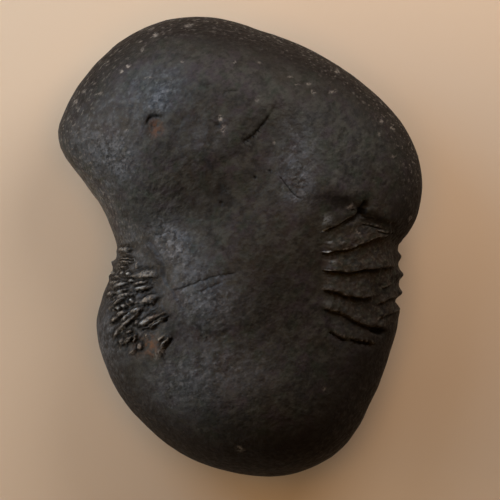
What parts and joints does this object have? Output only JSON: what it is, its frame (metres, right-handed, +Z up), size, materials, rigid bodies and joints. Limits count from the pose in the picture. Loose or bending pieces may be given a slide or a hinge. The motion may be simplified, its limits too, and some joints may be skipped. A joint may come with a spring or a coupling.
{
  "type": "ammonite fossil nodule",
  "caption": "River-worn two-lobed nodule of black stone with the ribbed edge of a sealed ammonite showing in a window at each waist; lies on its worn flat side",
  "frame": {"origin": "on the ground under the middle of the stone's box", "axes": "+Z up from the worn flat side, +Y towards the broad upper lobe's end, +X towards the waist with the coarse ribs"},
  "size_m": [0.0946, 0.1194, 0.0491],
  "materials": {
    "black_stone": "satin, river-worn black shale-limestone with rust stains and pale knocks"
  },
  "bodies": {
    "root": {"ammonite_nodule": "black_stone"}
  },
  "joints": []
}
